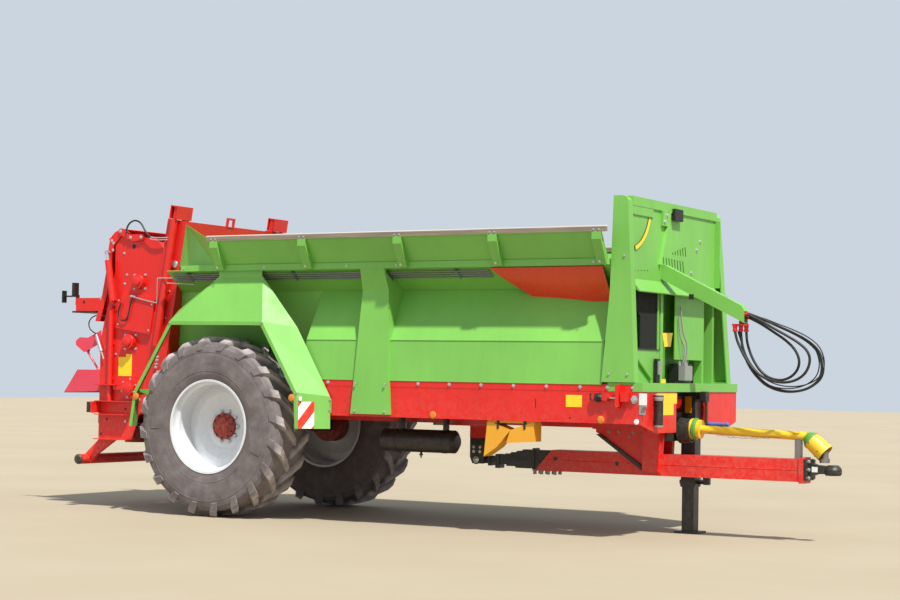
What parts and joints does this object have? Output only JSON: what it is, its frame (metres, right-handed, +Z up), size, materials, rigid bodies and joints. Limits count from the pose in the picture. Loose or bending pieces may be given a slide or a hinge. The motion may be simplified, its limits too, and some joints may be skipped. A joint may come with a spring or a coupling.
{
  "type": "manure spreader",
  "caption": "Towed manure spreader with a green hopper body, moving floor, sliding rear gate, milling beaters, spreading discs, sprung drawbar, parking jack and drive shaft.",
  "frame": {"origin": "the middle of the footprint at the ground", "axes": "+X runs forward to the hitch, +Y to the machine's left, +Z up"},
  "size_m": [9.07, 2.84, 3.4079],
  "materials": {
    "green": "satin green paint",
    "red": "satin red paint",
    "black": "black paint",
    "steel": "bare steel",
    "rim": "silver paint",
    "tyre": "dusty rubber",
    "yellow": "yellow plastic",
    "wood": "weathered planks",
    "hose": "black hose",
    "blue": "blue grip"
  },
  "bodies": {
    "chassis": {"axle": "black", "chassis_frame": "red", "side_skirts": "red", "drawbar": "red", "drawbar_brackets": "red", "drawbar_spring": "black", "hitch_coupling": "black", "jack_tube": "black", "jack_crank": "blue", "front_gearbox": "black", "pto_shaft": "yellow", "pto_yoke": "steel", "rear_gearbox": "red", "floor_chain": "steel", "hopper_floor": "green", "hopper_side_right": "green", "hopper_side_left": "green", "flare_ribs": "green", "top_planks": "wood", "side_skins": "green", "hopper_posts": "green", "front_wall": "green", "front_sill": "green", "headboard": "green", "fender_right": "green", "fender_left": "green", "hose_a": "hose", "hose_b": "hose", "hose_c": "hose", "hose_beam": "green", "hose_sockets": "red", "rear_towers": "red", "cylinder_barrels": "red", "side_panel_right": "red", "side_panel_left": "red", "disc_beam": "red", "rear_hood": "red", "underrun_bar": "red", "tail_lamps": "black", "air_tank": "black", "wheel_chocks": "yellow", "hydraulic_lines": "steel", "front_fittings": "black"},
    "wheel_right": {"tyre_right": "tyre", "rim_right": "rim", "hub_right": "red"},
    "wheel_left": {"tyre_left": "tyre", "rim_left": "rim", "hub_left": "red"},
    "gate": {"gate": "red"},
    "beater_upper": {"beater_upper": "red"},
    "beater_lower": {"beater_lower": "red"},
    "disc_right": {"disc_right": "red"},
    "disc_left": {"disc_left": "red"},
    "flap": {"spreading_flap": "red", "flap_lamps": "black"},
    "flap_rods": {"flap_rods": "steel"},
    "jack_leg": {"jack_leg": "black"}
  },
  "joints": [
    {"name": "wheel_right_spin", "type": "hinge", "parent": "chassis", "child": "wheel_right", "pos_m": [-2.035, -1.115, 0.97], "axis": [0, 1, 0], "continuous": true},
    {"name": "wheel_left_spin", "type": "hinge", "parent": "chassis", "child": "wheel_left", "pos_m": [-2.035, 1.115, 0.97], "axis": [0, 1, 0], "continuous": true},
    {"name": "gate_lift", "type": "slide", "parent": "chassis", "child": "gate", "axis": [0.1599, 0, 0.9871], "range_m": [0, 1]},
    {"name": "beater_upper_spin", "type": "hinge", "parent": "chassis", "child": "beater_upper", "pos_m": [-3.366, 0, 2.56], "axis": [0, 1, 0], "continuous": true},
    {"name": "beater_lower_spin", "type": "hinge", "parent": "chassis", "child": "beater_lower", "pos_m": [-3.482, 0, 1.88], "axis": [0, 1, 0], "continuous": true},
    {"name": "disc_right_spin", "type": "hinge", "parent": "chassis", "child": "disc_right", "pos_m": [-3.785, -0.47, 0.955], "axis": [0, 0, 1], "continuous": true},
    {"name": "disc_left_spin", "type": "hinge", "parent": "chassis", "child": "disc_left", "pos_m": [-3.785, 0.47, 0.955], "axis": [0, 0, 1], "continuous": true},
    {"name": "flap_open", "type": "hinge", "parent": "chassis", "child": "flap", "pos_m": [-3.645, 0, 3.13], "axis": [0, 1, 0], "range_deg": [0, 60]},
    {"name": "flap_rod_slide", "type": "slide", "parent": "chassis", "child": "flap_rods", "axis": [-0.1824, 0, 0.9832], "range_m": [0, 0.2762]},
    {"name": "jack_slide", "type": "slide", "parent": "chassis", "child": "jack_leg", "axis": [0, 0, 1], "range_m": [0, 0.4]}
  ],
  "couplings": [
    {"joint": "flap_rod_slide", "follows": "flap_open", "m_per_rad": 0.26379}
  ]
}
